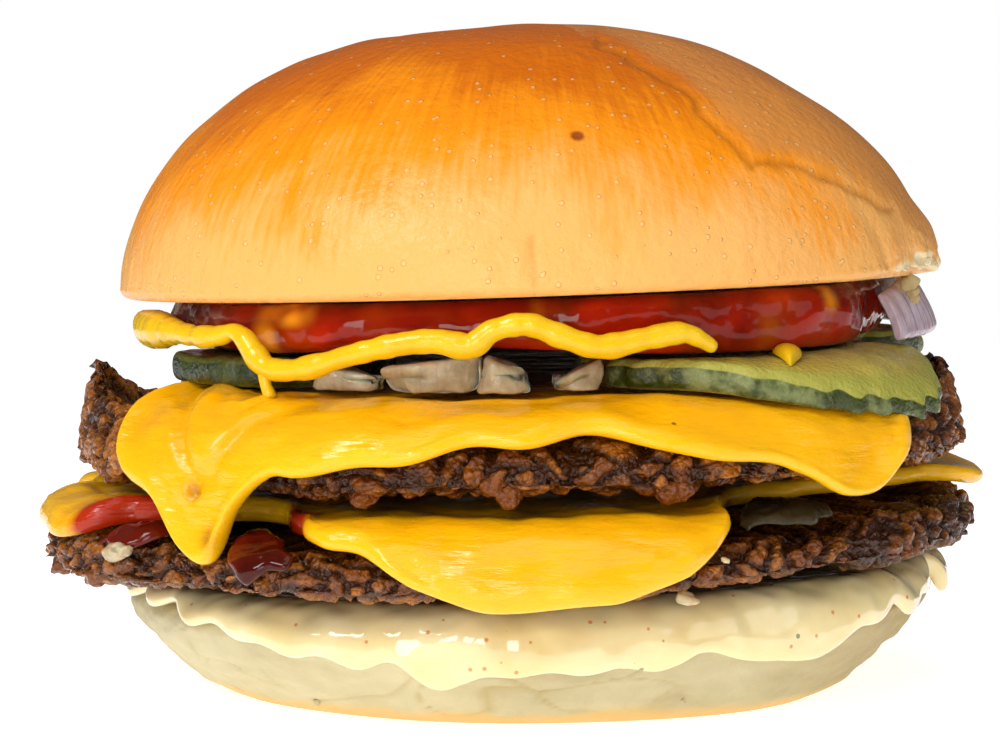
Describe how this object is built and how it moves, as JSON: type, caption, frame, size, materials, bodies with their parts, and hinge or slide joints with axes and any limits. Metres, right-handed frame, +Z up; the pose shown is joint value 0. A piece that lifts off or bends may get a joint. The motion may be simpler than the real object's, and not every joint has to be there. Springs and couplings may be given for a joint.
{
  "type": "double cheeseburger",
  "caption": "Stacked cheeseburger in a domed soft bun, with thin craggy patties, melted cheese, pickle, onion, ketchup, mustard and a creamy sauce.",
  "frame": {"origin": "centre of the flat underside of the bun's heel", "axes": "+Z up through the layers; -Y towards the front, where the lower cheese hangs lowest; +X to the right seen from the front"},
  "size_m": [0.121, 0.1257, 0.0846],
  "materials": {
    "crust": "stands for glazed, baked bread crust",
    "crumb": "stands for pale, soft bread",
    "cream_sauce": "stands for creamy burger sauce",
    "seared_meat": "stands for seared ground beef, wet with fat",
    "melted_cheese": "stands for melted processed cheese",
    "ketchup": "stands for ketchup",
    "mustard": "stands for smooth yellow mustard",
    "pickle": "stands for wet pickled cucumber",
    "white_onion": "stands for translucent cooked onion",
    "purple_onion": "stands for raw red onion"
  },
  "bodies": {
    "root": {"bun_crown": "crust", "bun_heel": "crumb", "burger_sauce": "cream_sauce", "cheese_lower": "melted_cheese", "cheese_upper": "melted_cheese", "ketchup": "ketchup", "ketchup_front": "ketchup", "ketchup_left": "ketchup", "mustard": "mustard", "onion_back_cut": "white_onion", "onion_back_left": "white_onion", "onion_back_wide": "white_onion", "onion_between": "white_onion", "onion_front_cut": "white_onion", "onion_front_flat": "white_onion", "onion_front_high": "white_onion", "onion_front_wide": "white_onion", "patty_lower": "seared_meat", "patty_upper": "seared_meat", "pickle_back": "pickle", "pickle_far_right": "pickle", "pickle_left": "pickle", "pickle_right": "pickle", "red_onion": "purple_onion"}
  },
  "joints": []
}
